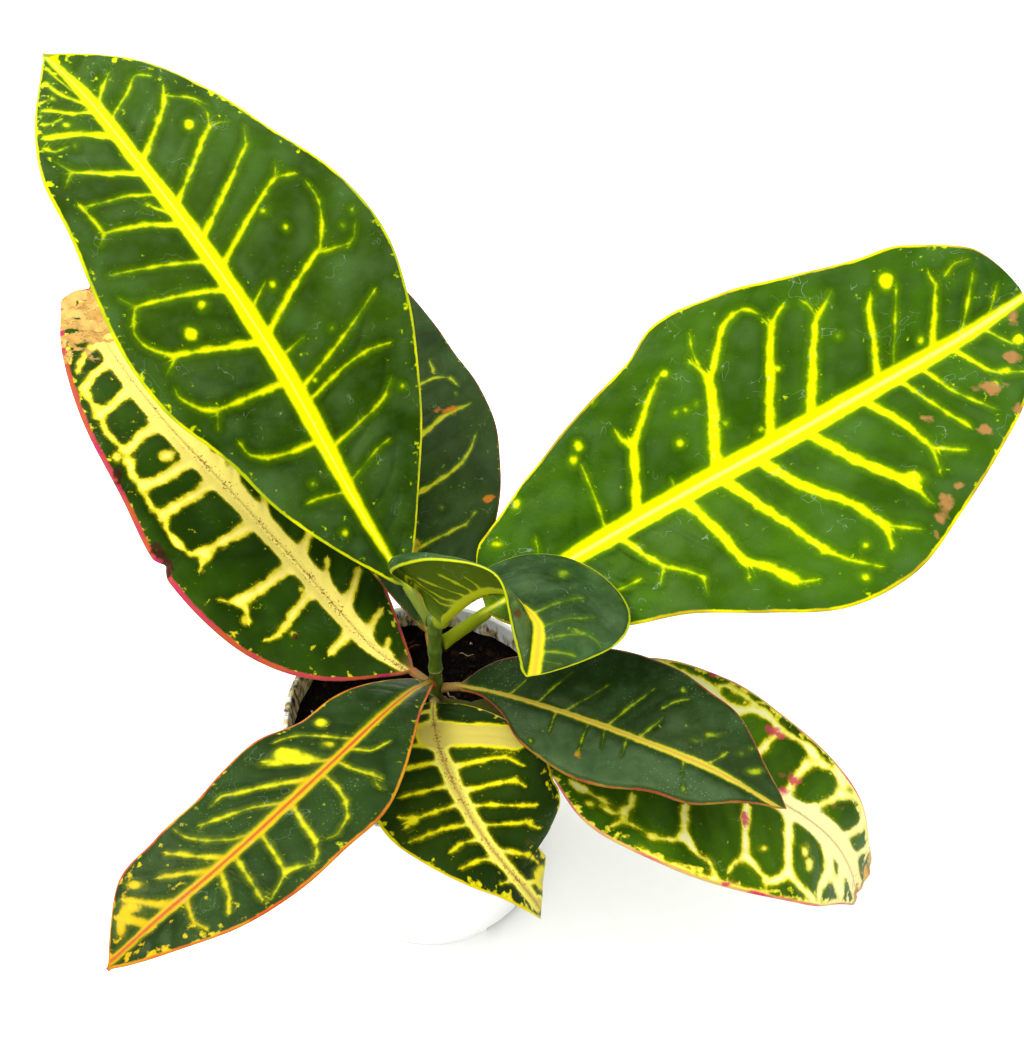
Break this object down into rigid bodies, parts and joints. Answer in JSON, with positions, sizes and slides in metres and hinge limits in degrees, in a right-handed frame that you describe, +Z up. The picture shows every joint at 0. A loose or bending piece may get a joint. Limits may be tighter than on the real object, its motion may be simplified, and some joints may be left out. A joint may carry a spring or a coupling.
{
  "type": "potted croton",
  "caption": "Young croton with broad dark green leaves veined in yellow, cream and red, on one short stem in dark soil, in a plain white plastic pot.",
  "frame": {"origin": "centre of the pot's base, on the surface that the pot stands on", "axes": "+Z up the pot's axis; -Y is the plant's front, towards the viewer of the picture; +X is the viewer's right, the way the big right leaf points and the longest extent"},
  "size_m": [0.3622, 0.2952, 0.298],
  "materials": {
    "pot": "plain white moulded plastic, streaked with dried potting mix inside the rim",
    "soil": "dark moist potting mix of peat and bark, matte",
    "stem": "smooth green stem, browner at its foot",
    "leaf_1_blade": "glossy dark green with a wide yellow midrib, yellow side veins and a thin yellow margin",
    "leaf_2_blade": "glossy dark green with a wide yellow midrib, yellow side veins and a thin yellow margin",
    "leaf_3_blade": "satin green with a broad cream midrib and veins, a pink-red margin and a dry tan tip",
    "leaf_4_blade": "satin dark green with thin yellow and orange veins",
    "leaf_5_blade": "satin dark green with an orange-red midrib, yellow veins and an orange margin",
    "leaf_6_blade": "satin dark green with a cream midrib, yellow veins and a yellow margin",
    "leaf_7_blade": "satin dark green with a tan midrib, thin broken yellow veins and a thin red margin",
    "leaf_8_blade": "satin cream and yellow net over dark green islands, a pink-red margin and a brown tip",
    "leaf_9_blade": "glossy young green with a yellow midrib and margin and a paler underside"
  },
  "bodies": {
    "root": {"pot": "pot", "soil": "soil", "stem": "stem", "leaf_1": "leaf_1_blade", "leaf_2": "leaf_2_blade", "leaf_3": "leaf_3_blade", "leaf_4": "leaf_4_blade", "leaf_5": "leaf_5_blade", "leaf_6": "leaf_6_blade", "leaf_7": "leaf_7_blade", "leaf_8": "leaf_8_blade", "leaf_9": "leaf_9_blade"}
  },
  "joints": []
}
